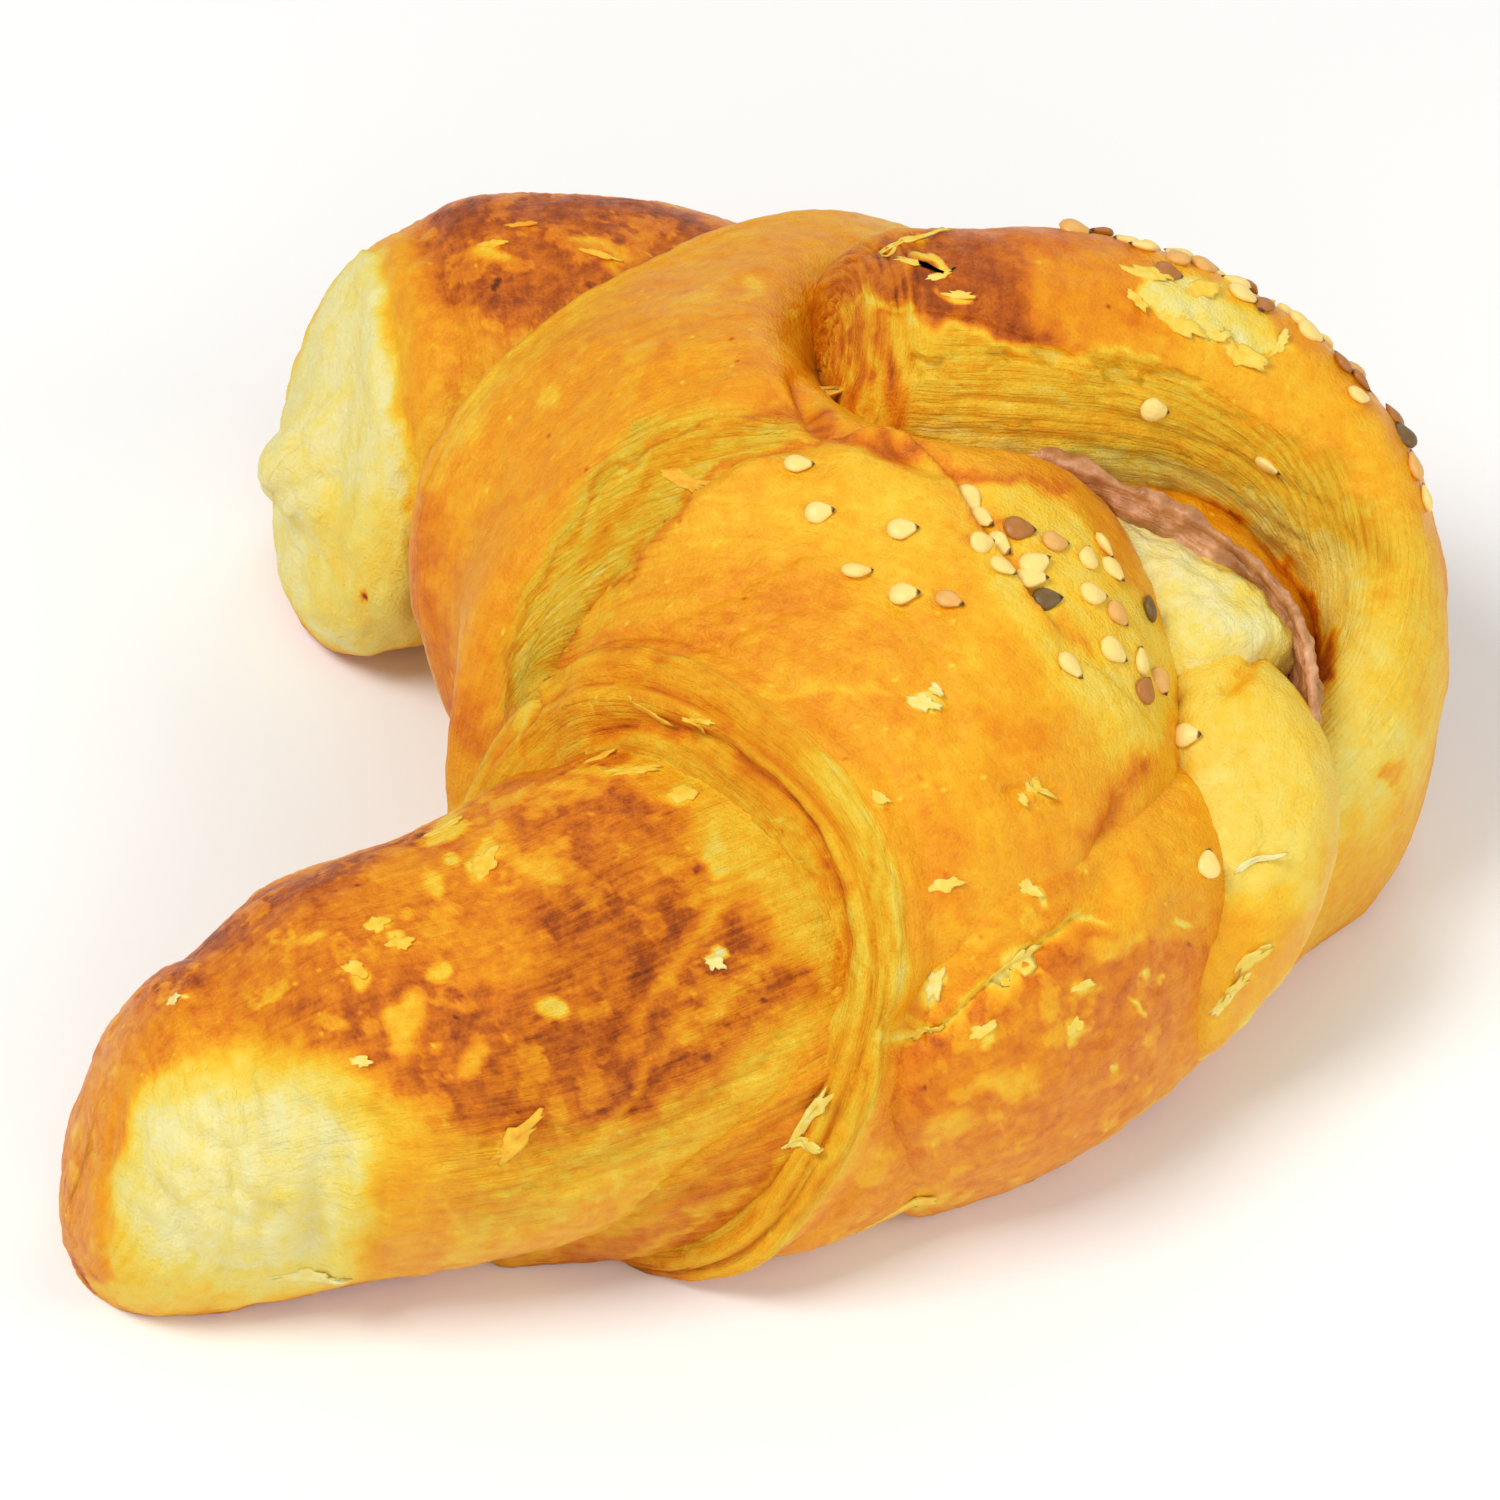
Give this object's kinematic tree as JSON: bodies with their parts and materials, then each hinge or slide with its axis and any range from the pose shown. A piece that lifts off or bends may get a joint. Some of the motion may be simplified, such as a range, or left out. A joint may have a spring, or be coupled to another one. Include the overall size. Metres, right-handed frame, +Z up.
{
  "type": "ham croissant",
  "caption": "Baked croissant bent in a crescent, with its outer tongue folded over the top, a slice of ham showing in the fold and sesame seeds on the crust.",
  "frame": {"origin": "under the middle of the croissant's bounding box, on the surface that it rests on", "axes": "+Z up; the two arms point towards -X, the front arm is the one at -Y, and the bend bulges towards +X"},
  "size_m": [0.123, 0.1136, 0.0521],
  "materials": {
    "golden_crust": "baked, egg-washed pastry crust, golden to brown, with pale flaky layers",
    "ham": "moist cooked ham"
  },
  "bodies": {
    "root": {"croissant": "golden_crust", "ham": "ham"}
  },
  "joints": []
}
